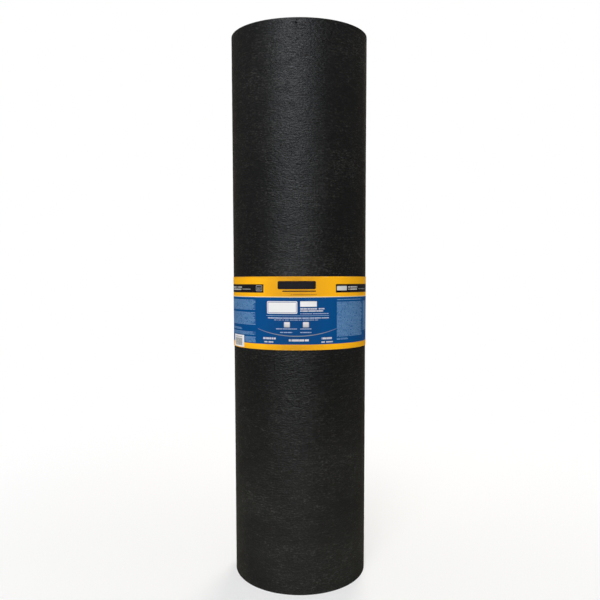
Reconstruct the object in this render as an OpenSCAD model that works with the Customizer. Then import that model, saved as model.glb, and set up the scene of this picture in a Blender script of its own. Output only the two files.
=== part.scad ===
// Roll of heavy roofing felt standing on its end, with a printed paper band round its middle.
// Sizes are in millimetres. +Z runs up the bore, and the origin is the centre of the bore's lower mouth.

/* [Sheet] */
// Width of the felt sheet, which is the height of the standing roll
sheet_w = 914.4; // [300:0.1:1200]
// Length of felt wound into the roll
sheet_len = 21946; // [8000:1:30000]
// Thickness of the felt
sheet_t = 1.5; // [1:0.05:3]

/* [Winding] */
// Diameter of the open bore that the winding mandrel leaves
bore_d = 60; // [40:1:100]
// Air between one turn and the next
turn_gap = 0.26; // [0.2:0.01:0.5]
// Depth to which that air is cut between the turns on each end
groove_depth = 1.5; // [0.5:0.1:5]
// Direction of the sheet's free edge, turned from +X
lap_angle = 75; // [0:1:360]

/* [Label band] */
// Height of the paper band
band_h = 117.5; // [60:0.5:200]
// Height of the band's lower edge above the floor
band_z = 400.5; // [0:0.5:900]
// Thickness of the paper
paper_t = 0.25; // [0.1:0.01:0.5]
// Gap between the felt and the paper, which rides on the felt's nap
paper_clear = 0.2; // [0.1:0.01:0.5]
// Width of the strip where the paper's end is glued down over its start
glue_lap = 28; // [10:1:60]
// Direction of the glued strip's middle, turned from +X
glue_angle = 52; // [0:1:360]

/* [Hidden] */
$fn = 180;
eps = 0.01;

felt_black = [0.15, 0.15, 0.155];
field_blue = [0.06, 0.29, 0.53];

// Each turn adds a pitch to the radius, so the length of the sheet sets the number of turns.
pitch = sheet_t + turn_gap;
half_pitch = pitch / 2;
bore_r = bore_d / 2;
wound_r = sqrt(bore_r * bore_r + pitch * sheet_len / PI);
turns = round((wound_r - bore_r) / pitch);
roll_r = bore_r + turns * pitch - turn_gap;

// Every spiral here is made of half rounds on two centres half a pitch apart. Along +X a half round
// of the later side meets the next one of the earlier side flush, so the radius grows by a pitch a turn.
module half_round(r) {
    intersection() {
        circle(r = r);
        translate([-2 * r, 0]) square([4 * r, 2 * r]);
    }
}

// Outline of the wound sheet, grown outwards. It has a step of one pitch at the free edge, on +X.
module wound_plan(grow = 0) {
    translate([-half_pitch, 0]) half_round(roll_r - half_pitch + grow);
    rotate(180) half_round(roll_r + grow);
}

// Air under a half turn whose inner face has the radius r.
module half_gap(r) {
    difference() {
        half_round(r);
        circle(r = r - turn_gap);
    }
}

// Air between all the turns, from the sheet's inner end to its last turn.
module turn_gaps() {
    for (turn = [1 : turns - 1]) {
        inner_r = bore_r + turn * pitch;
        translate([-half_pitch, 0]) half_gap(inner_r - half_pitch);
        rotate(180) half_gap(inner_r);
    }
}

module felt_layer(z, h, grooved) {
    translate([0, 0, z]) linear_extrude(height = h) difference() {
        wound_plan();
        circle(r = bore_r);
        if (grooved) turn_gaps();
    }
}

module felt_roll() {
    color(felt_black) rotate(lap_angle) {
        felt_layer(0, groove_depth, true);
        felt_layer(groove_depth, sheet_w - 2 * groove_depth, false);
        felt_layer(sheet_w - groove_depth, groove_depth, true);
    }
}

// Outline of paper pulled tight round the roll. It leaves the free edge's corner on a tangent and
// meets the felt again beyond the step.
module wrapped_plan(grow) {
    near_r = roll_r - half_pitch + grow;
    corner = [roll_r + grow, 0];
    lift_deg = acos(near_r / (corner.x + half_pitch));
    landing_r = near_r - eps;
    wound_plan(grow);
    polygon([[0, 0], corner, [landing_r * cos(lift_deg) - half_pitch, landing_r * sin(lift_deg)]]);
}

module label_band() {
    glue_deg = glue_lap / roll_r * 180 / PI;
    color(field_blue) translate([0, 0, band_z]) rotate(lap_angle) linear_extrude(height = band_h)
        difference() {
            union() {
                wrapped_plan(paper_clear + paper_t);
                intersection() {
                    wrapped_plan(paper_clear + 2 * paper_t);
                    rotate(glue_angle - lap_angle) polygon([[0, 0],
                        2 * roll_r * [cos(glue_deg / 2), -sin(glue_deg / 2)],
                        2 * roll_r * [cos(glue_deg / 2), sin(glue_deg / 2)]]);
                }
            }
            wrapped_plan(paper_clear);
        }
}

felt_roll();
label_band();
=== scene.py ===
"""Looks of the roll of roofing felt: the wound sheet with its relief, the printed paper band, the floor,
the lights and the camera.

Lengths in the helpers are in millimetres, in the frame of the CAD model, and meshes are made in metres.
"""

import math

import bpy
import numpy as np
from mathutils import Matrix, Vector


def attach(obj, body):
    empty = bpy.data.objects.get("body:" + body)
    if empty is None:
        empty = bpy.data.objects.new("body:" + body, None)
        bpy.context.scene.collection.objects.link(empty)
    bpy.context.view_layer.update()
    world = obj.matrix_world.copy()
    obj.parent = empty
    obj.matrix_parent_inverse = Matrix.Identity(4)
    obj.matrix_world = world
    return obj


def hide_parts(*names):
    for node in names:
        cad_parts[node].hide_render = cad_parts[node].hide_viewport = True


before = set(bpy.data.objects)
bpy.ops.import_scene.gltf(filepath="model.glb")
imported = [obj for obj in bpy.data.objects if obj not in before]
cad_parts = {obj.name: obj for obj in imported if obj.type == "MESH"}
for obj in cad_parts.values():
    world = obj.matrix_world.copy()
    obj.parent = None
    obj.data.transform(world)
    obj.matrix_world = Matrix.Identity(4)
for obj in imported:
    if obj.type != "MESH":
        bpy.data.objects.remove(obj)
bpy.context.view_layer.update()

# The winding, as in the CAD model: half rounds on two centres half a pitch apart.
SHEET_W, SHEET_T, GAP, BORE_R, TURNS = 914.4, 1.5, 0.26, 30.0, 48
PITCH = SHEET_T + GAP
HALF = PITCH / 2
ROLL_R = BORE_R + TURNS * PITCH - GAP
LAP_DEG = 75.0  # direction of the free edge, turned from +X
LAP = math.radians(LAP_DEG)
END = 360.0 * TURNS  # degrees that the whole sheet turns through
BAND_Z, BAND_H = 400.5, 117.5
SHORT = 1.45  # the sheet is drawn this much narrower, so that a turn can stand proud of its neighbours

# Maps for baking: their name, the rim left free in them, and what half of one and a whole one hold.
MAP, RIM, HALF_MAP, WHOLE_MAP = "OFBake", 0.005, 0.49, 0.99


def smooth(t):
    """From 0 to 1 with level ends, for t from 0 to 1."""
    return t * t * t * (t * (6 * t - 15) + 10)


def noise(u, v, seed):
    """Smooth random field over u and v, from -1 to 1, with about one bump a unit."""
    size = 256
    table = np.random.default_rng(seed).uniform(-1, 1, (size, size))
    u, v = np.broadcast_arrays(np.asarray(u, float), np.asarray(v, float))
    iu, iv = np.floor(u).astype(int), np.floor(v).astype(int)
    fu, fv = smooth(u - iu), smooth(v - iv)
    left, right, low, high = iu % size, (iu + 1) % size, iv % size, (iv + 1) % size
    near = table[left, low] * (1 - fu) + table[right, low] * fu
    far = table[left, high] * (1 - fu) + table[right, high] * fu
    return near * (1 - fv) + far * fv


def ramp(x, lo, hi):
    """0 below lo, 1 above hi, smooth between."""
    return smooth(np.clip((np.asarray(x, float) - lo) / (hi - lo), 0, 1))


def inner_face(turned):
    """x of the arc's centre and radius of the sheet's inner face, that many degrees from the sheet's start."""
    turned = np.asarray(turned, float)
    turn = np.floor(turned / 360)
    near = turned - 360 * turn < 180
    return np.where(near, -HALF, 0.0), BORE_R + turn * PITCH - np.where(near, HALF, 0.0)


def along(turned):
    """Length of sheet from its inner end to that angle, about, in millimetres."""
    t = np.radians(np.asarray(turned, float))
    return (BORE_R + SHEET_T / 2) * t + PITCH / (4 * math.pi) * t * t


def to_part(x, y, z):
    """Points with the free edge on +X, in millimetres, as points of the part in metres."""
    c, s = math.cos(LAP), math.sin(LAP)
    return np.stack(np.broadcast_arrays(x * c - y * s, x * s + y * c, z), -1) / 1000


def placed(turned, depth, z, lift):
    """Points of the sheet at that angle and depth outwards from its inner face, in metres."""
    centre, r = inner_face(turned)
    a = np.radians(np.asarray(turned, float))
    r = r + depth + lift
    return to_part(centre + r * np.cos(a), r * np.sin(a), z)


def mesh_object(name, points, faces, material_index, materials, maps):
    """Object with those faces, which all have as many corners. A map is its name and each corner's place."""
    me = bpy.data.meshes.new(name)
    me.vertices.add(len(points))
    me.vertices.foreach_set("co", np.ascontiguousarray(points, np.float32).ravel())
    me.loops.add(faces.size)
    me.loops.foreach_set("vertex_index", np.ascontiguousarray(faces, np.int32).ravel())
    me.polygons.add(len(faces))
    me.polygons.foreach_set("loop_start", np.arange(0, faces.size, faces.shape[1], dtype=np.int32))
    me.polygons.foreach_set("loop_total", np.full(len(faces), faces.shape[1], np.int32))
    me.polygons.foreach_set("material_index", np.ascontiguousarray(material_index, np.int32))
    me.update(calc_edges=True)
    for title, uv in maps:
        layer = me.uv_layers.new(name=title)
        layer.data.foreach_set("uv", np.ascontiguousarray(uv, np.float32).ravel())
    me.validate()
    me.shade_smooth()
    for m in materials:
        me.materials.append(m)
    o = bpy.data.objects.new(name, me)
    bpy.context.scene.collection.objects.link(o)
    return o


def swept(columns, ring):
    """Quads of a closed ring of points swept over columns, wound outwards, and the column and the place round
    the ring of each of their corners."""
    i, j = np.meshgrid(np.arange(columns - 1), np.arange(ring), indexing="ij")
    i, j = i.ravel(), j.ravel()
    column, place = np.stack([i, i + 1, i + 1, i], 1), np.stack([j, j, j + 1, j + 1], 1)
    return column * ring + place % ring, column, place


def put(base, rows, other):
    """The map base with the other's corners in those faces."""
    return np.where(rows[:, None, None], other, base)


def square(u, v, width, height):
    """Corners in a map of one small face."""
    return [[u, v], [u + width, v], [u + width, v + height], [u, v + height]]


# ---------------------------------------------------------------- nodes


class Nodes:
    """Short ways to wire a material's nodes."""

    def __init__(self, name):
        self.mat = bpy.data.materials.new(name)
        self.mat.use_nodes = True
        self.tree = self.mat.node_tree
        self.shader = self.tree.nodes["Principled BSDF"]

    def set(self, socket, value):
        """Links an output to the socket, or sets a value there."""
        if isinstance(value, bpy.types.NodeSocket):
            self.tree.links.new(value, socket)
        else:
            socket.default_value = value

    def math(self, operation, a, b=0.0, c=0.0, clamp=False):
        n = self.tree.nodes.new("ShaderNodeMath")
        n.operation, n.use_clamp = operation, clamp
        for socket, value in zip(n.inputs, (a, b, c)):
            self.set(socket, value)
        return n.outputs[0]

    def uv(self, title):
        n = self.tree.nodes.new("ShaderNodeUVMap")
        n.uv_map = title
        return n.outputs[0]

    def scaled(self, vector, scale, shift=(0, 0, 0)):
        n = self.tree.nodes.new("ShaderNodeMapping")
        self.set(n.inputs["Vector"], vector)
        n.inputs["Scale"].default_value = scale
        n.inputs["Location"].default_value = shift
        return n.outputs[0]

    def noise(self, vector, scale=1.0, detail=2.0, rough=0.5, distort=0.0):
        n = self.tree.nodes.new("ShaderNodeTexNoise")
        self.set(n.inputs["Vector"], vector)
        n.inputs["Scale"].default_value = scale
        n.inputs["Detail"].default_value = detail
        n.inputs["Roughness"].default_value = rough
        n.inputs["Distortion"].default_value = distort
        return n.outputs[0]

    def voronoi(self, vector):
        n = self.tree.nodes.new("ShaderNodeTexVoronoi")
        self.set(n.inputs["Vector"], vector)
        return n

    def range(self, value, lo, hi, out_lo=0.0, out_hi=1.0, smooth_step=False):
        n = self.tree.nodes.new("ShaderNodeMapRange")
        if smooth_step:
            n.interpolation_type = "SMOOTHSTEP"
        for socket, x in zip(n.inputs, (value, lo, hi, out_lo, out_hi)):
            self.set(socket, x)
        return n.outputs[0]

    def ramp(self, value, *stops):
        n = self.tree.nodes.new("ShaderNodeValToRGB")
        self.set(n.inputs[0], value)
        while len(n.color_ramp.elements) < len(stops):
            n.color_ramp.elements.new(0.5)
        for e, (at, colour) in zip(n.color_ramp.elements, stops):
            e.position, e.color = at, (*colour, 1)
        return n.outputs[0]

    def mix(self, factor, a, b, blend="MIX"):
        n = self.tree.nodes.new("ShaderNodeMix")
        n.data_type, n.blend_type = "RGBA", blend
        n.clamp_factor = True
        self.set(n.inputs[0], factor)
        for socket, value in ((n.inputs[6], a), (n.inputs[7], b)):
            self.set(socket, value if isinstance(value, bpy.types.NodeSocket) else (*value, 1))
        return n.outputs[2]

    def bump(self, height, distance, strength):
        n = self.tree.nodes.new("ShaderNodeBump")
        n.inputs["Strength"].default_value = strength
        n.inputs["Distance"].default_value = distance
        self.set(n.inputs["Height"], height)
        return n.outputs[0]

    def attribute(self, title, output):
        n = self.tree.nodes.new("ShaderNodeAttribute")
        n.attribute_name = title
        return n.outputs[output]

    def split(self, vector):
        n = self.tree.nodes.new("ShaderNodeSeparateXYZ")
        self.set(n.inputs[0], vector)
        return n.outputs

    def join(self, x, y, z=0.0):
        n = self.tree.nodes.new("ShaderNodeCombineXYZ")
        for socket, value in zip(n.inputs, (x, y, z)):
            self.set(socket, value)
        return n.outputs[0]


# ---------------------------------------------------------------- felt material


# The nick and the crease under it, in front at the upper edge.
NICK_TURNED = END - 167
NICK_S, NICK_Z = float(along(NICK_TURNED)), 905.0


def felt_material(name, edge=False):
    """Asphalt-saturated felt: matted fibres lying mostly along the sheet, soaked dark, with a faint matt
    sheen.
    Its slit edges are dusty; only its faces carry the nick's painted shade and a painted haze near the bottom."""
    n = Nodes(name)
    at = n.uv("sheet")  # metres along the sheet and up its width
    cloud = n.noise(n.scaled(at, (9, 12, 1)), detail=3, rough=0.55)
    blotch = n.noise(n.scaled(at, (70, 120, 1)), detail=2, rough=0.6)
    grain = n.noise(n.scaled(at, (240, 460, 1)), detail=2, rough=0.55, distort=0.3)
    pile = n.noise(n.scaled(at, (480, 900, 1)), detail=2, rough=0.6)
    fibre = n.noise(n.scaled(at, (85, 620, 1), (3, 1, 0)), detail=2, rough=0.5, distort=1.2)
    tone = n.math("MULTIPLY_ADD", cloud, 0.35, n.math("MULTIPLY", blotch, 0.30))
    tone = n.math("MULTIPLY_ADD", grain, 0.65, tone)
    tone = n.math("MULTIPLY_ADD", fibre, 0.45, tone)
    tone = n.math("MULTIPLY_ADD", pile, 0.30, tone)
    colour = n.ramp(
        n.range(tone, 0.80, 1.25),
        (0.00, (0.0007, 0.0006, 0.0004)),
        (0.35, (0.0015, 0.0014, 0.0011)),
        (0.55, (0.0034, 0.0033, 0.0027)),
        (0.75, (0.0098, 0.0098, 0.0085)),
        (1.00, (0.0310, 0.0310, 0.0280)),
    )
    # Light fibre ends here and there.
    specks = n.voronoi(n.scaled(at, (200, 230, 1)))
    near = n.range(specks.outputs["Distance"], 0.04, 0.12, 1.0, 0.0)
    some = n.range(n.split(specks.outputs["Color"])[0], 0.94, 0.96)
    ends = n.math("MULTIPLY", n.math("MULTIPLY", near, some), 0.40)
    colour = n.mix(ends, colour, (0.085, 0.090, 0.095))
    s, z, _ = n.split(at)
    nick_s, nick_z = NICK_S / 1000, NICK_Z / 1000
    painted_shade_and_dull = 0.0
    if edge:
        dust = n.noise(n.scaled(at, (60, 300, 1)), detail=3, rough=0.7)
        colour = n.mix(n.range(dust, 0.42, 0.75, 0.1, 0.7), colour, (0.045, 0.042, 0.037))
    else:
        # Painted haze: the felt is painted lighter and warmer towards the end it stands on, in place of light
        # off the floor.
        low = n.range(z, 0.0, 0.47, 1.0, 0.0, smooth_step=True)
        share = n.math("MULTIPLY", low, n.range(cloud, 0.3, 0.7, 0.7, 1.2))
        colour = n.mix(share, colour, (0.0108, 0.0110, 0.0092), "ADD")
        # Painted shade: the nick and its crease are painted near black, and made rough.
        sway = n.noise(n.scaled(at, (0, 70, 1)), detail=3, rough=0.6)
        wander = n.math("MULTIPLY_ADD", sway, 0.008, nick_s - 0.0040)
        beside = n.math("ABSOLUTE", n.math("SUBTRACT", s, wander))
        crease = n.math("MULTIPLY", n.range(beside, 0.0003, 0.0013, 0.7, 0.0), n.range(z, 0.855, 0.885))
        dx = n.math("POWER", n.math("MULTIPLY", n.math("SUBTRACT", s, nick_s), 1 / 0.0022), 2.0)
        dz = n.math("POWER", n.math("MULTIPLY", n.math("SUBTRACT", z, nick_z), 1 / 0.0017), 2.0)
        nick = n.range(n.math("MULTIPLY_ADD", pile, 0.9, n.math("ADD", dx, dz)), 0.9, 1.6, 1.0, 0.0)
        painted_shade_and_dull = n.math("MAXIMUM", nick, crease)
        colour = n.mix(painted_shade_and_dull, colour, (0.0003, 0.0003, 0.0003))
    n.set(n.shader.inputs["Base Color"], colour)
    # Seen along the surface the fibres scatter more, so its gloss goes there.
    facing = n.tree.nodes.new("ShaderNodeLayerWeight")
    facing.inputs["Blend"].default_value = 0.5
    scatter = n.range(facing.outputs["Facing"], 0.10, 0.62, 0.0, 0.5)
    rough = n.math("ADD", n.range(grain, 0.35, 0.65, 0.41, 0.52), scatter, clamp=True)
    n.set(n.shader.inputs["Roughness"], n.math("MAXIMUM", rough, painted_shade_and_dull))
    n.shader.inputs["Specular IOR Level"].default_value = 0.038
    # Nap and dust catch a little warm light towards the sides.
    n.shader.inputs["Sheen Weight"].default_value = 0.03
    n.shader.inputs["Sheen Roughness"].default_value = 0.3
    n.shader.inputs["Sheen Tint"].default_value = (1.0, 0.82, 0.50, 1)
    height = n.math("MULTIPLY_ADD", grain, 0.8, n.math("MULTIPLY", fibre, 0.75))
    height = n.math("MULTIPLY_ADD", pile, 0.35, height)
    height = n.math("MULTIPLY_ADD", blotch, 0.6, height)
    n.set(n.shader.inputs["Normal"], n.bump(height, 0.0014, 0.8))
    return n.mat


# ---------------------------------------------------------------- felt geometry


def end_wander(turned):
    """How far the sheet's lower edge stands off the floor there: turns sit proud or low of each other."""
    turn = np.floor(turned / 360).astype(int)
    level = np.random.default_rng(5).uniform(0, 0.5, TURNS + 2)
    own, follow = level[turn], level[turn + 1]
    part = smooth(np.clip(turned / 360 - turn, 0, 1))
    drift = 0.32 * (1 + noise(turned / 150, 0.5, 6)) + 0.18 * (1 + noise(turned / 37, 0.5, 7))
    return np.clip(own * (1 - part) + follow * part + drift * 0.75 - 0.2, 0.0, 1.4)


def sway_of(turned):
    """How far the whole width of the sheet lies off an even spiral."""
    return 0.07 * noise(turned / 60, 0.5, 9)


def wound_turns():
    """The turns under the outermost one, as one ribbon: points, faces, their materials and the two maps."""
    start, step = 150.0, 3.75  # before the start the sheet thins to nothing against the bore
    turned = np.arange(start, END - 360 + step / 2, step)
    n = len(turned)
    lower = end_wander(turned)
    upper = lower + SHEET_W - SHORT
    thin = SHEET_T * (1 + 0.05 * noise(turned / 25, 0.5, 8))
    sway = sway_of(turned)
    flare_low = sway + 0.10 * noise(turned / 28, 0.5, 10)
    flare_high = sway + 0.10 * noise(turned / 28, 0.5, 11)
    o, in_from_edge = 0.32, 3.0  # bevel of the slit edges, and where their flare begins
    # Round the sheet's section: on its outer side or not, depth from that side, height and lift.
    ring = [
        (0, 0, lower + in_from_edge, sway), (0, 0, lower + o, flare_low), (0, o, lower, flare_low),
        (1, -o, lower, flare_low), (1, 0, lower + o, flare_low), (1, 0, lower + in_from_edge, sway),
        (1, 0, upper - in_from_edge, sway), (1, 0, upper - o, flare_high), (1, -o, upper, flare_high),
        (0, o, upper, flare_high), (0, 0, upper - o, flare_high), (0, 0, upper - in_from_edge, sway),
    ]
    m = len(ring)
    length = along(turned) / 1000
    pts = np.stack([placed(turned, side * thin + depth, z, lift) for side, depth, z, lift in ring], 1)
    # The outer side is shifted in the sheet's map, so that it doesn't repeat the inner side's grain.
    sheet = np.stack([np.stack([length, z / 1000 + 0.002 * side], -1) for side, _, z, _ in ring], 1)
    faces, column, place = swept(n, m)
    j = place[:, 0]
    low_edge, high_edge = (j >= 1) & (j <= 3), (j >= 7) & (j <= 9)
    index = (low_edge | high_edge).astype(int)
    first, last = np.arange(m), (n - 1) * m + np.arange(m)
    caps = []
    for a in range(m // 2 - 1):
        caps.append([first[a], first[a + 1], first[m - 2 - a], first[m - 1 - a]])
        caps.append([last[m - 1 - a], last[m - 2 - a], last[a + 1], last[a]])
    # Map for baking: the two ends flat, the bore unrolled, and the hidden faces in the last quarter.
    xyz = pts.reshape(-1, 3)[faces]
    reach = 0.116  # metres from the middle to the side of each end's square
    flat = RIM + HALF_MAP * (xyz[:, :, :2] + reach) / (2 * reach)
    bore = ((j == 0) | (j >= 10)) & (column.max(1) * step <= 360)
    unrolled = [RIM + HALF_MAP * column * step / 360, 0.5 + RIM + HALF_MAP * xyz[:, :, 2] / (SHEET_W / 1000)]
    bake = 0.5 + RIM + HALF_MAP * np.stack([column / (n - 1), place / m], -1)
    bake = put(bake, high_edge, flat)
    bake = put(bake, low_edge, flat + [0.5, 0.0])
    bake = put(bake, bore, np.stack(unrolled, -1))
    bake = np.concatenate([bake, [square(0.02 + 0.03 * a, 0.9965, 0.02, 0.003) for a in range(len(caps))]])
    faces = np.concatenate([faces, np.array(caps)])
    index = np.concatenate([index, np.zeros(len(caps), int)])
    uv = sheet.reshape(-1, 2)[faces]
    return pts.reshape(-1, 3), faces, index, uv, bake


def outer_relief(s, z):
    """How deep the outer face lies under a perfect winding, in millimetres, for s and z in millimetres."""
    soft = 0.16 * (1 + noise(s / 95, z / 130, 21)) + 0.09 * (1 + noise(s / 38, z / 210, 22))
    crinkle = 0.5 + 0.5 * noise(s / 70, z / 60, 23)
    wrinkle = (0.045 + 0.075 * crinkle) * (1 + noise(s / 17, z / 5.2, 24))
    pebble = 0.035 * (1 + noise(s / 5.5, z / 4.4, 25))
    nick = 0.8 * np.exp(-(((s - NICK_S) / 1.5) ** 2) - ((z - NICK_Z) / 1.2) ** 2)
    line = NICK_S + 1.6 * noise(0.5, z / 14, 26)
    crease = 0.25 * np.exp(-(((s - line) / 0.9) ** 2)) * ramp(z, 850, 885)
    return soft + wrinkle + pebble + np.maximum(nick, crease)


def outer_turn():
    """The outermost turn, whose outer face carries the relief of the felt. It gives what wound_turns gives."""
    # Columns and rows lie closer round the nick.
    turned = np.linspace(END - 360, END, 289)
    turned = np.concatenate([turned, np.arange(NICK_TURNED - 4, NICK_TURNED + 3.8, 0.3125)])
    turned = np.unique(np.round(turned, 4))
    n = len(turned)
    near_top = [16.2, 14.6, 13.2, 12, 11, 10, 9, 8, 7, 5.5, 3.8, 2.3, SHORT]
    rows = [[0.0, 0.8, 2.0, 4.0], np.linspace(7, SHEET_W - 18, 245), SHEET_W - np.array(near_top)]
    rows = np.concatenate(rows)
    lower = end_wander(turned)
    upper = lower + SHEET_W - SHORT
    s = along(turned)
    o, sunk = 0.35, 0.25  # bevel of the slit edges, and how deep their outer corner lies, under the relief
    outer_z = (lower + o)[:, None] + rows[None, :] * ((SHEET_W - SHORT - 2 * o) / rows[-1])
    sway = sway_of(turned)
    depth = SHEET_T - outer_relief(s[:, None], outer_z)
    # The free edge isn't pasted down: between the band and each end it stands off the turn under it.
    loose = ramp(turned, END - 16, END)[:, None]
    off_band = ramp(np.abs(outer_z - (BAND_Z + BAND_H / 2)), 75, 210)
    lift = sway[:, None] + loose * off_band * (0.55 + 0.45 * noise(outer_z / 120, 0.5, 31))
    below = [(0.0, lower + o), (o, lower), (SHEET_T - o - sunk, lower)]
    above = [(SHEET_T - o - sunk, upper), (o, upper), (0.0, upper - o)]
    low_points = np.stack([placed(turned, d, z, sway) for d, z in below], 1)
    high_points = np.stack([placed(turned, d, z, sway) for d, z in above], 1)
    pts = np.concatenate([low_points, placed(turned[:, None], depth, outer_z, lift), high_points], 1)
    z_of = np.concatenate([np.stack([z for _, z in below], 1), outer_z, np.stack([z for _, z in above], 1)], 1)
    m = pts.shape[1]
    sheet = np.stack(np.broadcast_arrays(s[:, None] / 1000, z_of / 1000), -1)
    faces, column, place = swept(n, m)
    j = place[:, 0]
    index = np.isin(j, (0, 1, 2, m - 4, m - 3, m - 2)).astype(int)
    caps = []
    for base, flip in ((0, False), ((n - 1) * m, True)):
        low = [base, base + 1, base + 2, base + 3]
        high = [base + m - 4, base + m - 3, base + m - 2, base + m - 1]
        quads = [low, high, [low[0], low[3], high[0], high[3]]]
        caps += [q[::-1] if flip else q for q in quads]
    # Map for baking: the outer face unrolled, and beside it the two edges, the inner face and the ends.
    part = (turned[column] - turned[0]) / 360
    height = z_of[column, np.minimum(place, m - 1)] / SHEET_W
    bake = np.stack([RIM + 0.775 * part, RIM + WHOLE_MAP * height], -1)
    for first, last, u0, width in ((0, 2, 0.80, 0.02), (m - 4, m - 2, 0.84, 0.02), (m - 1, m - 1, 0.88, 0.06)):
        strip = [u0 + width * (place - first) / (last - first + 1), RIM + WHOLE_MAP * part]
        bake = put(bake, (j >= first) & (j <= last), np.stack(strip, -1))
    bake = np.concatenate([bake, [square(0.96, 0.02 + 0.04 * a, 0.03, 0.03) for a in range(len(caps))]])
    faces = np.concatenate([faces, np.array(caps)])
    index = np.concatenate([index, np.ones(len(caps), int)])
    uv = sheet.reshape(-1, 2)[faces]
    return pts.reshape(-1, 3), faces, index, uv, bake


felt = (felt_material("felt_face"), felt_material("felt_slit_edge", edge=True))
for name, make in (("felt_wound_turns", wound_turns), ("felt_outer_turn", outer_turn)):
    pts, faces, index, uv, bake = make()
    piece = mesh_object(name, pts, faces, index, felt, [("sheet", uv), (MAP, bake)])
    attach(piece, "root")
    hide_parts("felt_roll")

# ---------------------------------------------------------------- paper band

PAPER, CLEAR = 0.2, 0.2  # thickness of the paper, and the felt's nap under it
LIFT_ANGLE = math.acos((ROLL_R - HALF + CLEAR) / (ROLL_R + HALF + CLEAR))


def wrapped(angle, grow):
    """Outline of paper pulled round the roll and grown outwards, as x and y in mm with the free edge on +X."""
    a = np.radians(angle % 360)
    near = a < math.pi
    centre = np.where(near, -HALF, 0.0)
    r = ROLL_R + grow + centre
    # The paper leaves the free edge's corner straight, and lands beyond the step.
    part = a / LIFT_ANGLE
    landing = ROLL_R - HALF + grow
    x = (ROLL_R + grow) * (1 - part) + (landing * math.cos(LIFT_ANGLE) - HALF) * part
    y = landing * math.sin(LIFT_ANGLE) * part
    over = a < LIFT_ANGLE
    return np.where(over, x, centre + r * np.cos(a)), np.where(over, y, r * np.sin(a))


FRONT = -90 - LAP_DEG  # angle of the roll's front, from the free edge
GLUE_START, GLUED = 45 - LAP_DEG, 28  # angle where the glued strip starts, and its width
GIRTH = 2 * math.pi * (ROLL_R - HALF / 2 + CLEAR + PAPER / 2)
FACE = GIRTH / 2  # the print is made twice round the band
FACE_START = -168.0  # where a print begins, left of the front
# How much lower the askew band lies at the sides than in front, how much higher than in the CAD it lies in
# front, and how far in from its edges it is drawn.
ASKEW, FRONT_RISE, INSET = 6.0, 1.4, 0.35

YELLOW, YELLOW_DEEP = (0.94, 0.445, 0.0075), (0.585, 0.270, 0.0085)
BLUE, BLUE_DEEP = (0.0012, 0.064, 0.222), (0.0010, 0.045, 0.162)
WHITE, INK = (0.72, 0.715, 0.715), (0.0085, 0.0075, 0.0090)
PALE, GREY_BLUE, FINE = (0.62, 0.68, 0.76), (0.45, 0.53, 0.64), (0.17, 0.33, 0.54)

# Plain panels and rules: left, right, lower, upper, colour, strength. The first two are millimetres from the
# middle of the print, the next two are up from the band's lower edge.
PANELS = [
    (60.5, 176.0, 91.6, 105.2, INK, 1.0),
    (186.0, 191.5, 91.6, 105.2, INK, 1.0),
    (-168.0, -60.0, 91.6, 105.2, INK, 1.0),
    (-27.0, 26.0, 93.3, 95.2, INK, 1.0),
    (1.0, 27.5, 69.4, 78.2, WHITE, 1.0),
    (-55.0, 48.0, 54.9, 55.6, (0.26, 0.38, 0.55), 0.8),
]
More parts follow.
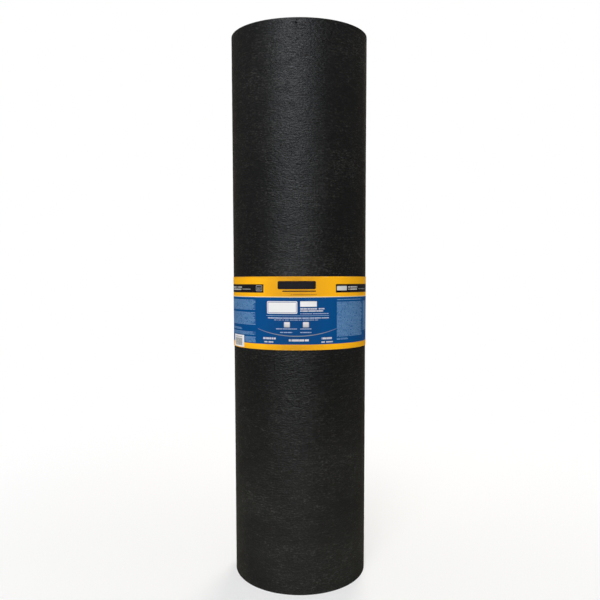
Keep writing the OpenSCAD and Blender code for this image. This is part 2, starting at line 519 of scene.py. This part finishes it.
# Rows of bars where fine print would be: left, right, lower, upper, pitch of the rows, length of a word,
# colour, strength, and how much of the colour lies between the bars.
BARS = [
    (86.0, 112.0, 95.0, 102.2, 3.6, 6.0, WHITE, 0.75, 0),
    (115.0, 145.0, 96.2, 98.2, 2.0, 5.0, WHITE, 0.45, 0),
    (-164.0, -112.0, 95.0, 102.2, 3.6, 6.0, WHITE, 0.65, 0),
    (-110.0, -85.0, 96.2, 98.2, 2.0, 5.0, WHITE, 0.45, 0),
    (-73.0, -64.4, 96.2, 100.2, 2.0, 3.0, (0.35, 0.35, 0.36), 0.8, 0),
    (-14.0, 27.5, 87.6, 90.0, 2.4, 4.0, INK, 0.45, 0),
    (1.0, 40.0, 61.0, 67.8, 3.4, 6.0, WHITE, 0.72, 0),
    (1.0, 48.0, 57.4, 59.4, 2.0, 4.0, GREY_BLUE, 0.65, 0),
    (-52.0, 48.0, 50.3, 52.7, 2.4, 5.0, PALE, 0.72, 0),
    (-41.0, 33.0, 47.3, 49.5, 2.2, 4.0, GREY_BLUE, 0.55, 0),
    (-38.0, -4.0, 33.0, 35.4, 2.4, 3.5, GREY_BLUE, 0.62, 0),
    (1.0, 20.0, 33.0, 35.4, 2.4, 3.5, GREY_BLUE, 0.62, 0),
    (-31.0, -9.0, 27.4, 29.8, 2.4, 3.5, GREY_BLUE, 0.62, 0),
    (1.0, 20.0, 27.4, 29.8, 2.4, 3.5, GREY_BLUE, 0.62, 0),
    (-61.0, -38.0, 16.0, 21.2, 5.2, 7.0, WHITE, 0.72, 0),
    (-59.0, -41.0, 11.2, 14.4, 3.2, 7.0, WHITE, 0.72, 0),
    (-17.0, 15.0, 13.2, 18.8, 5.6, 7.0, WHITE, 0.72, 0),
    (35.0, 55.0, 16.0, 21.2, 5.2, 7.0, WHITE, 0.72, 0),
    (35.0, 55.0, 11.2, 14.4, 3.2, 7.0, WHITE, 0.72, 0),
    (-162.0, -76.5, 63.4, 80.5, 1.9, 3.4, FINE, 0.85, 0.14),
    (-162.0, -76.5, 39.1, 60.0, 1.9, 3.4, FINE, 0.85, 0.14),
    (-153.0, -112.0, 30.4, 34.2, 1.9, 3.4, FINE, 0.85, 0.14),
    (-153.0, -76.5, 22.6, 28.3, 1.9, 3.4, FINE, 0.85, 0.14),
    (-103.0, -76.5, 10.5, 20.0, 1.9, 3.4, FINE, 0.85, 0.14),
    (62.5, 130.0, 20.0, 77.0, 1.9, 3.4, FINE, 0.85, 0.14),
    (134.0, 184.0, 27.6, 77.0, 1.9, 3.4, FINE, 0.85, 0.14),
    (62.5, 86.0, 15.1, 18.0, 1.9, 3.4, FINE, 0.85, 0.14),
    (62.5, 130.0, 79.2, 81.1, 1.9, 3.4, FINE, 0.85, 0.14),
    (-140.5, -112.0, 16.8, 18.8, 2.0, 3.0, (0.08, 0.08, 0.08), 0.7, 0),
]


def cuts(lo, hi, borders, gap):
    """Places from lo to hi with the borders among them, at most a gap apart."""
    marks = [lo]
    inside = sorted({round(b, 2) for b in borders if lo + 0.3 < b < hi - 0.3})
    for b in inside + [hi]:
        if b - marks[-1] > 0.15:
            marks += list(np.linspace(marks[-1], b, math.ceil((b - marks[-1]) / gap) + 1)[1:])
    marks[-1] = hi
    return np.array(marks)


def print_place(arc):
    """Place across the print, in millimetres from its middle."""
    return np.mod(arc - FACE_START, FACE) + FACE_START


def band():
    """The strip of paper, cut where its print changes. It starts under its glued end, and gives what
    wound_turns gives."""
    first = (GLUE_START - 360 - FRONT) * GIRTH / 360
    last = (GLUE_START - FRONT) * GIRTH / 360 + GLUED
    across = {x for p in PANELS + BARS for x in p[:2]} | {FACE_START}
    arc = cuts(first, last, [x + k * FACE for x in across for k in (-2, -1, 0, 1)], 3.2)
    upward = [y for p in PANELS + BARS for y in p[2:4]] + [0.5, 2.0, BAND_H - 2.0, BAND_H - 0.5]
    up = cuts(0.0, BAND_H, upward, 3.0)
    angle = arc * 360 / GIRTH + FRONT + 360
    n = len(angle)
    second = ramp(angle, GLUE_START + 354.5, GLUE_START + 360)[:, None]
    u, v = arc[:, None], up[None, :]
    pucker = 0.036 * (1 + noise(u / 26, v / 40, 41)) + 0.024 * (1 + noise(u / 9 + v / 60, v / 22, 42))
    edge_rise = 0.03 * (1 - ramp(np.minimum(v, BAND_H - v), 0, 7)) * (1 + noise(u / 33, 0.5, 43))
    inner = 0.05 + pucker + edge_rise + second * PAPER * 1.05
    # The end of the strip isn't glued right to its edge.
    inner = inner + ramp(angle, angle[-1] - 1.6, angle[-1])[:, None] * 0.05
    wave = 0.35 * noise(arc / 130, 0.5, 44)
    # It was put on a little askew: lower at the sides than in front, and lowest at the back.
    wave = wave + FRONT_RISE - ASKEW * (1 - np.cos(np.radians(angle - FRONT)))
    z = BAND_Z + INSET + wave[:, None] + v * (1 - 2 * INSET / BAND_H)
    outside = to_part(*wrapped(angle[:, None], inner + PAPER), z)
    inside = to_part(*wrapped(angle[:, None], inner), z)
    ring = np.concatenate([outside, inside[:, ::-1]], 1)
    m, k = ring.shape[1], len(up)
    faces, column, place = swept(n, m)
    j = place[:, 0]
    index = (j >= k - 1).astype(int)
    print_u = np.broadcast_to(arc[:, None], (n, m))
    print_v = np.broadcast_to(np.concatenate([up, up[::-1]])[None, :], (n, m))
    caps = []
    for base, flip in ((0, False), ((n - 1) * m, True)):
        for a in range(k - 1):
            q = [base + a, base + a + 1, base + m - 2 - a, base + m - 1 - a]
            caps.append(q[::-1] if flip else q)
    # Map for baking: the print in six squares, and over them the bare side and the edges.
    part = (arc[column] - first) / (last - first)
    height = print_v[0][place % m] / BAND_H
    cell = np.clip(np.floor(6 * part.mean(1, keepdims=True)), 0, 5)
    in_cell = 0.03 + 0.94 * np.stack([6 * part - cell, height], -1)
    bake = (np.stack([cell % 3, cell // 3], -1) + in_cell) / 3
    along_map = RIM + WHOLE_MAP * part
    bake = put(bake, j >= k, np.stack([along_map, 0.71 + 0.25 * height], -1))
    for side, v0 in ((k - 1, 0.97), (m - 1, 0.985)):
        bake = put(bake, j == side, np.stack([along_map, v0 + 0.008 * (place - side)], -1))
    width = WHOLE_MAP / (k - 1)
    ends = [square(RIM + width * a, v0, width, 0.01) for v0 in (0.672, 0.69) for a in range(k - 1)]
    bake = np.concatenate([bake, ends])
    faces = np.concatenate([faces, np.array(caps)])
    index = np.concatenate([index, np.ones(len(caps), int)])
    uv = np.stack([print_u, print_v], -1).reshape(-1, 2)[faces]
    return ring.reshape(-1, 3), faces, index, uv, bake


def print_parts(mm, index):
    """Attributes of the printed faces: colour and strength of panels and of bars, and the bars' coordinates.
    mm holds the place in the print of each corner of the faces, in millimetres."""
    middle = mm.mean(1)
    across = print_place(middle[:, 0])
    turned = mm[:, :, 0] - (middle[:, 0] - across)[:, None]
    count = len(mm)
    panel, panel_share = np.zeros((count, 3)), np.zeros(count)
    ink, ink_share, wash = np.zeros((count, 3)), np.zeros(count), np.zeros(count)
    bars = np.zeros((count, mm.shape[1], 3))

    def within(x0, x1, y0, y1):
        return (index == 0) & (across > x0) & (across < x1) & (middle[:, 1] > y0) & (middle[:, 1] < y1)

    for x0, x1, y0, y1, colour, share in PANELS:
        m = within(x0, x1, y0, y1)
        panel[m], panel_share[m] = colour, share
    block = 40  # more rows than any block has, so that no two rows have the same number
    for k, (x0, x1, y0, y1, pitch, word, colour, share, between) in enumerate(BARS, 1):
        m = within(x0, x1, y0, y1)
        ink[m], ink_share[m], wash[m] = colour, share, between
        # Words along the row, the row's number, and the share of the row's length.
        row = (mm[m][:, :, 1] - y0) / pitch + block * k
        bars[m] = np.stack([turned[m] / word, row, (turned[m] - x0) / (x1 - x0)], -1)
    panels = {"panel": panel, "panel_share": panel_share}
    return panels | {"ink": ink, "ink_share": ink_share, "wash": wash, "bars": bars}


def add_attribute(me, name, values):
    """Puts a number or a vector on each face, or a vector on each corner."""
    kind, field = ("FLOAT", "value") if values.ndim == 1 else ("FLOAT_VECTOR", "vector")
    a = me.attributes.new(name, kind, "CORNER" if values.ndim == 3 else "FACE")
    a.data.foreach_set(field, np.ascontiguousarray(values, np.float32).ravel())


def print_material():
    """The band's outer side: yellow, blue and yellow, with plain panels, rules and bars in place of print."""
    n = Nodes("band_print")
    u, v, _ = n.split(n.uv("print"))
    u = n.math("MULTIPLY", u, 1000.0)
    v = n.math("MULTIPLY", v, 1000.0)
    u = n.math("ADD", n.math("WRAP", n.math("SUBTRACT", u, FACE_START), FACE, 0.0), FACE_START)

    def off(value, middle):
        return n.math("ABSOLUTE", n.math("SUBTRACT", value, middle))

    def distance(x0, x1, y0, y1, r):
        """Distance out of a box with round corners, and below zero in it."""
        dx = n.math("SUBTRACT", off(u, (x0 + x1) / 2), (x1 - x0) / 2 - r)
        dy = n.math("SUBTRACT", off(v, (y0 + y1) / 2), (y1 - y0) / 2 - r)
        square_x, square_y = (n.math("POWER", n.math("MAXIMUM", d, 0.0), 2.0) for d in (dx, dy))
        out = n.math("SQRT", n.math("ADD", square_x, square_y))
        return n.math("SUBTRACT", n.math("ADD", out, n.math("MINIMUM", n.math("MAXIMUM", dx, dy), 0.0)), r)

    def plate(d, inset=0.0):
        """1 inside that outline, drawn in by the inset, and 0 outside, with a soft edge."""
        soft = 0.12
        return n.range(d, -inset - soft, -inset + soft, 1.0, 0.0)

    # The stripes, printed a little deeper towards the middle of each face.
    middle = n.range(off(u, -6.0), 2.0, 78.0, 1.0, 0.0, smooth_step=True)
    tone = n.noise(n.join(n.math("DIVIDE", u, 22.0), n.math("DIVIDE", v, 60.0)), detail=2)
    middle = n.math("MULTIPLY", middle, n.range(tone, 0.3, 0.7, 0.82, 1.0))
    yellow = n.mix(middle, YELLOW, YELLOW_DEEP)
    blue = n.mix(middle, BLUE, BLUE_DEEP)
    # A pale hairline parts the upper stripe from the field.
    hairline = n.range(off(v, 84.9), 0.4, 0.6, 0.9, 0.0)
    colour = n.mix(n.range(v, 84.9, 85.1), blue, yellow)
    colour = n.mix(n.range(v, 8.95, 9.2, 1.0, 0.0), colour, yellow)
    colour = n.mix(hairline, colour, (0.92, 0.78, 0.46))
    colour = n.mix(n.attribute("panel_share", "Fac"), colour, n.attribute("panel", "Color"))

    # Plates with round corners: one on a panel, a keyline, a bar on the yellow, the title plate with its
    # keyline, two badges with a painted highlight, and a patch with even rules.
    colour = n.mix(plate(distance(62.5, 83.0, 95.0, 102.2, 1.2)), colour, (0.60, 0.60, 0.60))
    frame_line = distance(-75.0, -62.6, 94.2, 103.2, 1.0)
    colour = n.mix(n.math("SUBTRACT", plate(frame_line), plate(frame_line, 0.8)), colour, (0.35, 0.35, 0.36))
    colour = n.mix(plate(distance(-35.0, 26.0, 97.2, 110.4, 2.4)), colour, INK)
    title = distance(-53.5, -3.5, 58.4, 78.2, 2.0)
    colour = n.mix(plate(title), colour, WHITE)
    colour = n.mix(n.math("SUBTRACT", plate(title, 1.3), plate(title, 2.0)), colour, BLUE)
    for x in (-20.0, 10.0):
        d = distance(x - 5.1, x + 5.1, 36.4, 45.6, 1.6)
        colour = n.mix(plate(d), colour, (0.20, 0.20, 0.22))
        # Painted highlight: each badge's face goes from grey below to pale above, as silver catching light.
        shade = n.mix(n.range(v, 37.0, 45.0), (0.42, 0.42, 0.42), (0.70, 0.70, 0.71))
        colour = n.mix(plate(d, 0.7), colour, shade)
    patch = distance(-146.5, -105.5, 1.2, 21.2, 0.6)
    colour = n.mix(plate(patch), colour, (0.82, 0.82, 0.82))
    rules = n.range(off(n.math("FRACT", n.math("DIVIDE", u, 1.3)), 0.5), 0.20, 0.26)
    ruled = plate(distance(-140.5, -112.0, 3.6, 15.6, 0.1))
    colour = n.mix(n.math("MULTIPLY", ruled, rules), colour, (0.045, 0.045, 0.045))
    # A pale rule sags over the lower bars, thicker in its middle.
    t = n.math("POWER", n.math("DIVIDE", n.math("ADD", u, 5.0), 67.0), 2.0)
    beside = off(v, n.math("MULTIPLY_ADD", t, 11.2, 22.6))
    width = n.math("MAXIMUM", n.math("MULTIPLY_ADD", t, -0.55, 1.0), 0.1)
    rule = n.range(n.math("DIVIDE", beside, width), 0.55, 0.85, 1.0, 0.0)
    colour = n.mix(n.math("MULTIPLY", rule, n.range(t, 0.98, 1.0, 0.95, 0.0)), colour, (0.19, 0.22, 0.24))

    # Bars, each row cut into uneven lengths, with a ragged end.
    word, row, reach = n.split(n.attribute("bars", "Vector"))
    shifted = n.math("MULTIPLY", n.math("FLOOR", row), 17.31)
    line = n.range(off(n.math("FRACT", row), 0.5), 0.24, 0.34, 1.0, 0.0)
    words = n.range(off(n.noise(n.join(word, shifted), detail=1, rough=0.6), 0.5), 0.012, 0.022)
    ragged = n.math("MULTIPLY_ADD", n.noise(n.join(shifted, 3.3), detail=0), 0.3, reach)
    ragged = n.range(ragged, 1.10, 1.12, 1.0, 0.0)
    bars = n.math("MULTIPLY", n.math("MULTIPLY", words, ragged), line)
    bars = n.math("MULTIPLY", bars, n.attribute("ink_share", "Fac"))
    bars = n.math("MAXIMUM", bars, n.attribute("wash", "Fac"))
    colour = n.mix(bars, colour, n.attribute("ink", "Color"))

    # Paper and press grain, and edges worn pale.
    speck = n.noise(n.join(u, v), scale=1.6, detail=3, rough=0.7)
    colour = n.mix(n.range(speck, 0.3, 0.7, 0.0, 0.22), colour, (0.80, 0.80, 0.80), "MULTIPLY")
    rub = n.noise(n.join(n.math("DIVIDE", u, 9.0), n.math("DIVIDE", v, 5.0)), detail=4, rough=0.7)
    edge = n.math("MINIMUM", v, n.math("SUBTRACT", BAND_H, v))
    worn = n.math("MULTIPLY", n.range(edge, 0.2, 1.1, 1.0, 0.0), n.range(rub, 0.52, 0.62))
    colour = n.mix(n.math("MULTIPLY", worn, 0.45), colour, (0.55, 0.50, 0.42))
    n.set(n.shader.inputs["Base Color"], colour)
    n.set(n.shader.inputs["Roughness"], n.range(rub, 0.3, 0.7, 0.62, 0.74))
    n.shader.inputs["Specular IOR Level"].default_value = 0.02
    cockle = n.noise(n.join(n.math("DIVIDE", u, 14.0), n.math("DIVIDE", v, 30.0)), detail=3, rough=0.55)
    height = n.math("MULTIPLY_ADD", cockle, 1.0, n.math("MULTIPLY", speck, 0.06))
    n.set(n.shader.inputs["Normal"], n.bump(height, 0.0009, 0.5))
    return n.mat


def paper_back():
    """The band's bare side and cut edges."""
    n = Nodes("band_paper")
    at = n.uv("print")
    pulp = n.noise(n.scaled(at, (900, 1100, 1)), detail=4, rough=0.7)
    colour = n.ramp(pulp, (0.3, (0.56, 0.53, 0.47)), (0.7, (0.74, 0.72, 0.67)))
    n.set(n.shader.inputs["Base Color"], colour)
    n.shader.inputs["Roughness"].default_value = 0.85
    n.set(n.shader.inputs["Normal"], n.bump(pulp, 0.0001, 0.6))
    return n.mat


pts, faces, index, uv, bake = band()
maps = [("print", uv / 1000), (MAP, bake)]
label = mesh_object("paper_band", pts, faces, index, (print_material(), paper_back()), maps)
for title, values in print_parts(uv, index).items():
    add_attribute(label.data, title, values)
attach(label, "root")
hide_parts("label_band")

# ---------------------------------------------------------------- floor, world, lights and camera


def light_path_white(tree):
    """1 for rays that see the background: from the camera, in gloss and through glass."""
    path = tree.nodes.new("ShaderNodeLightPath")
    seen = path.outputs["Is Camera Ray"]
    for kind in ("Is Glossy Ray", "Is Transmission Ray"):
        either = tree.nodes.new("ShaderNodeMath")
        either.operation = "MAXIMUM"
        tree.links.new(seen, either.inputs[0])
        tree.links.new(path.outputs[kind], either.inputs[1])
        seen = either.outputs[0]
    return seen


def backdrop():
    """A world that is white to look at and lights the roll softly."""
    world = bpy.data.worlds.new("studio")
    world.use_nodes = True
    tree = world.node_tree
    tree.nodes.clear()
    out = tree.nodes.new("ShaderNodeOutputWorld")
    mix = tree.nodes.new("ShaderNodeMixShader")
    tree.links.new(light_path_white(tree), mix.inputs[0])
    for socket, strength in ((1, 0.32), (2, 1.0)):
        white = tree.nodes.new("ShaderNodeBackground")
        white.inputs["Color"].default_value = (1, 1, 1, 1)
        white.inputs["Strength"].default_value = strength
        tree.links.new(white.outputs[0], mix.inputs[socket])
    tree.links.new(mix.outputs[0], out.inputs["Surface"])
    bpy.context.scene.world = world


def pale_floor():
    """A floor that keeps the roll's shadow near it, and goes over into the white backdrop away from it."""
    reach = 6.0
    me = bpy.data.meshes.new("floor")
    around = [(-reach, -reach, 0), (reach, -reach, 0), (reach, reach, 0), (-reach, reach, 0)]
    me.from_pydata(around, [], [(0, 1, 2, 3)])
    floor = bpy.data.objects.new("floor", me)
    bpy.context.scene.collection.objects.link(floor)
    mat = bpy.data.materials.new("floor_pale")
    mat.use_nodes = True
    t = mat.node_tree
    shader = t.nodes["Principled BSDF"]
    shader.inputs["Base Color"].default_value = (0.9, 0.9, 0.9, 1)
    shader.inputs["Roughness"].default_value = 0.9
    shader.inputs["Specular IOR Level"].default_value = 0.1
    glow = t.nodes.new("ShaderNodeEmission")
    glow.inputs["Strength"].default_value = 1.0
    m = t.nodes.new("ShaderNodeMixShader")
    place = t.nodes.new("ShaderNodeTexCoord")
    far = t.nodes.new("ShaderNodeVectorMath")
    far.operation = "LENGTH"
    t.links.new(place.outputs["Object"], far.inputs[0])
    fade = t.nodes.new("ShaderNodeMapRange")
    fade.interpolation_type = "SMOOTHSTEP"
    t.links.new(far.outputs["Value"], fade.inputs[0])
    near_far_shares = (0.15, 1.1, 0.55, 1.0)  # metres from the roll's middle, and the shares of white there
    for socket, value in zip(fade.inputs[1:5], near_far_shares):
        socket.default_value = value
    share = t.nodes.new("ShaderNodeMath")
    share.operation = "MULTIPLY"
    t.links.new(light_path_white(t), share.inputs[0])
    t.links.new(fade.outputs[0], share.inputs[1])
    t.links.new(share.outputs[0], m.inputs[0])
    t.links.new(shader.outputs[0], m.inputs[1])
    t.links.new(glow.outputs[0], m.inputs[2])
    t.links.new(m.outputs[0], t.nodes["Material Output"].inputs["Surface"])
    me.materials.append(mat)


def lamp(name, place, target, size, power, colour, gloss_only=False):
    """Area lamp at a place, facing the target, with its size in metres and its power in watts."""
    data = bpy.data.lights.new(name, "AREA")
    data.shape, data.size, data.size_y = "RECTANGLE", size[0], size[1]
    data.energy, data.color = power, colour
    o = bpy.data.objects.new(name, data)
    bpy.context.scene.collection.objects.link(o)
    o.location = place
    o.rotation_euler = (Vector(target) - Vector(place)).to_track_quat("-Z", "Y").to_euler()
    o.visible_diffuse = not gloss_only


backdrop()
pale_floor()
lamp("key_soft", (-0.50, -1.85, 1.35), (0, 0, 0.62), (0.9, 1.1), 28, (0.97, 0.985, 1.0))
lamp("fill_low", (0.35, -2.2, 0.45), (0, 0, 0.40), (1.2, 0.6), 5, (1.0, 0.97, 0.90))
lamp("back_soft", (0.5, 2.0, 1.3), (0, 0, 0.5), (0.9, 1.2), 46, (1.0, 0.94, 0.84))
# A strip of light that shows in the felt's sheen.
lamp("strip_high", (-0.34, -1.85, 1.85), (0, 0, 0.85), (0.24, 0.7), 430, (0.88, 0.92, 1.0), gloss_only=True)

# The camera that fits the roll's outline in the photo.
SENSOR, PICTURE_PX, FOCAL_PX = 36.0, 600, 675.6
DOWN, ROLLED, TURNED = 4.4731, 0.1186, -0.0504  # degrees
camera_data = bpy.data.cameras.new("camera")
camera_data.sensor_width = SENSOR
camera_data.lens = FOCAL_PX / PICTURE_PX * SENSOR
camera = bpy.data.objects.new("camera", camera_data)
bpy.context.scene.collection.objects.link(camera)
camera.location = (0.0, -1.17115, 0.56451)
camera.rotation_euler = (math.radians(90 - DOWN), math.radians(ROLLED), math.radians(TURNED))
bpy.context.scene.camera = camera
bpy.context.scene.view_settings.view_transform = "Standard"
